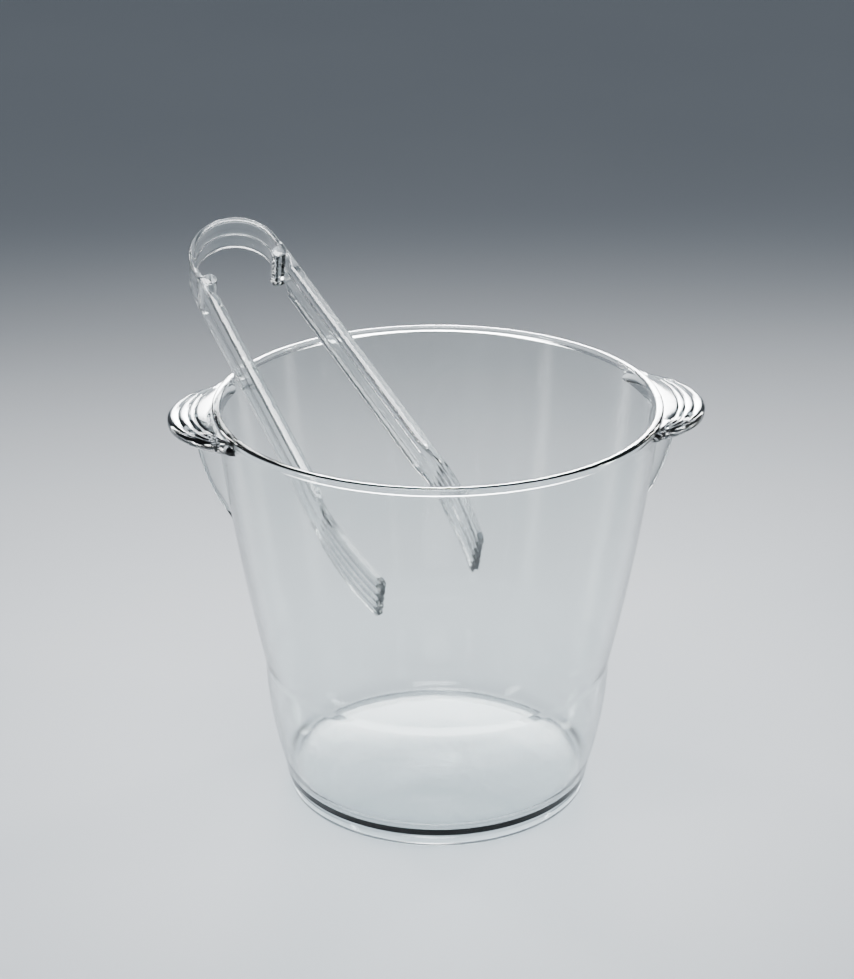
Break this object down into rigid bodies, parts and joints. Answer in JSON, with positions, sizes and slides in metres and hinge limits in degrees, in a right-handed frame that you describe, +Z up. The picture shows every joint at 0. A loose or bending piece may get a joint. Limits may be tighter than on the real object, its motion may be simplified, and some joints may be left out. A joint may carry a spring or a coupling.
{
  "type": "ice bucket with tongs",
  "caption": "Clear moulded ice bucket with crescent side grips, ribbed brackets and a foot ring, with a matching pair of springy ice tongs resting over its rim",
  "frame": {"origin": "middle of the circle that the foot ring stands on", "axes": "+Z up along the bucket's axis; X through the two handles, with right_handle at +X; the front is -Y, and the tongs' bow hangs over the rim at the back left"},
  "size_m": [0.2152, 0.18, 0.2238],
  "materials": {
    "bucket_clear": "clear, polished",
    "tongs_clear": "clear, polished"
  },
  "bodies": {
    "bucket": {"bucket_body": "bucket_clear", "foot_ring": "bucket_clear", "left_handle": "bucket_clear", "right_handle": "bucket_clear", "left_gusset": "bucket_clear", "right_gusset": "bucket_clear"},
    "tongs": {"tong_spring_bow": "tongs_clear"},
    "left_arm": {"tong_left_arm": "tongs_clear", "tong_left_claw": "tongs_clear"},
    "right_arm": {"tong_right_arm": "tongs_clear", "tong_right_claw": "tongs_clear"}
  },
  "joints": [
    {"name": "tongs_lift", "type": "slide", "parent": "bucket", "child": "tongs", "axis": [0, 0, 1], "range_m": [0, 0.1]},
    {"name": "left_arm_squeeze", "type": "hinge", "parent": "tongs", "child": "left_arm", "pos_m": [-0.09354, 0.0674, 0.20851], "axis": [0.0277, -0.5826, 0.8123], "range_deg": [0, 6.2], "stiffness_Nm_per_rad": 2, "deforming": ["tong_spring_bow"]},
    {"name": "right_arm_squeeze", "type": "hinge", "parent": "tongs", "child": "right_arm", "pos_m": [-0.07263, 0.07584, 0.21385], "axis": [-0.0277, 0.5826, -0.8123], "range_deg": [0, 6.2], "stiffness_Nm_per_rad": 2, "deforming": ["tong_spring_bow"]}
  ],
  "couplings": [
    {"joint": "right_arm_squeeze", "follows": "left_arm_squeeze", "ratio": 1}
  ]
}
